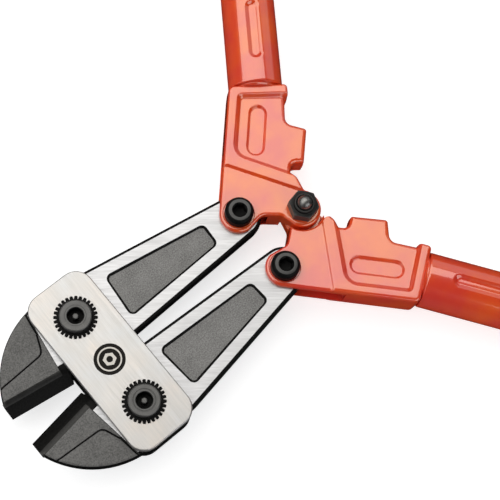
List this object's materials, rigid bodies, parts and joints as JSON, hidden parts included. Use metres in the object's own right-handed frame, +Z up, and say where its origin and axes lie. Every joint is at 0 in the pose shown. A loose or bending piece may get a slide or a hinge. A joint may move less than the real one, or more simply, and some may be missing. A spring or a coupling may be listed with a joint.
{
  "type": "bolt cutters",
  "caption": "Two-handed bolt cutters with compound levers, centre-cut jaws between bolted side plates and tubular handles with rubber grips.",
  "frame": {"origin": "centre of the bounding box, on the surface the tool lies on", "axes": "+X from the jaws towards the handles, +Y towards the left handle (upper in the picture), +Z up from the surface"},
  "size_m": [0.4405, 0.7996, 0.0361],
  "materials": {
    "plate_steel": "fine brushed",
    "jaw_steel": "ground faces, dark forged panels",
    "black_oxide": "black oxide",
    "bronze": "satin",
    "red_paint": "glossy",
    "grip_rubber": "matte"
  },
  "bodies": {
    "head": {"top_side_plate": "plate_steel", "bottom_side_plate": "plate_steel", "left_jaw_bolt": "black_oxide", "right_jaw_bolt": "black_oxide", "jaw_bolt_washers": "black_oxide", "jaw_bolt_nuts": "black_oxide"},
    "left_jaw_arm": {"left_jaw": "jaw_steel", "left_jaw_bushing": "bronze"},
    "right_jaw_arm": {"right_jaw": "jaw_steel", "right_jaw_bushing": "bronze"},
    "centre_pivot": {"centre_bolt": "black_oxide", "centre_washer": "black_oxide", "centre_nut": "black_oxide"},
    "left_handle": {"left_fitting": "red_paint", "left_tube": "red_paint", "left_grip": "grip_rubber", "left_toggle_bolt": "black_oxide", "left_toggle_nut": "black_oxide"},
    "right_handle": {"right_fitting": "red_paint", "right_tube": "red_paint", "right_grip": "grip_rubber", "right_toggle_bolt": "black_oxide", "right_toggle_nut": "black_oxide"}
  },
  "joints": [
    {"name": "centre_slide", "type": "slide", "parent": "head", "child": "centre_pivot", "axis": [-1, 0, 0], "range_m": [-0.0017, 0.0185]},
    {"name": "left_handle_turn", "type": "hinge", "parent": "centre_pivot", "child": "left_handle", "pos_m": [-0.05187, 0, 0.0165], "axis": [0, 0, -1], "range_deg": [-4, 44.8]},
    {"name": "right_handle_turn", "type": "hinge", "parent": "centre_pivot", "child": "right_handle", "pos_m": [-0.05187, 0, 0.0165], "axis": [0, 0, 1], "range_deg": [-4, 44.8]},
    {"name": "left_jaw_turn", "type": "hinge", "parent": "head", "child": "left_jaw_arm", "pos_m": [-0.16997, 0.0251, 0.0165], "axis": [0, 0, 1], "range_deg": [-0.8, 8.2]},
    {"name": "right_jaw_turn", "type": "hinge", "parent": "head", "child": "right_jaw_arm", "pos_m": [-0.16997, -0.0251, 0.0165], "axis": [0, 0, -1], "range_deg": [-0.8, 8.2]}
  ],
  "couplings": [
    {"joint": "right_handle_turn", "follows": "left_handle_turn", "ratio": 1},
    {"joint": "left_jaw_turn", "follows": "left_handle_turn", "ratio": 0.183},
    {"joint": "right_jaw_turn", "follows": "left_handle_turn", "ratio": 0.183},
    {"joint": "centre_slide", "follows": "left_handle_turn", "m_per_rad": 0.0236}
  ]
}
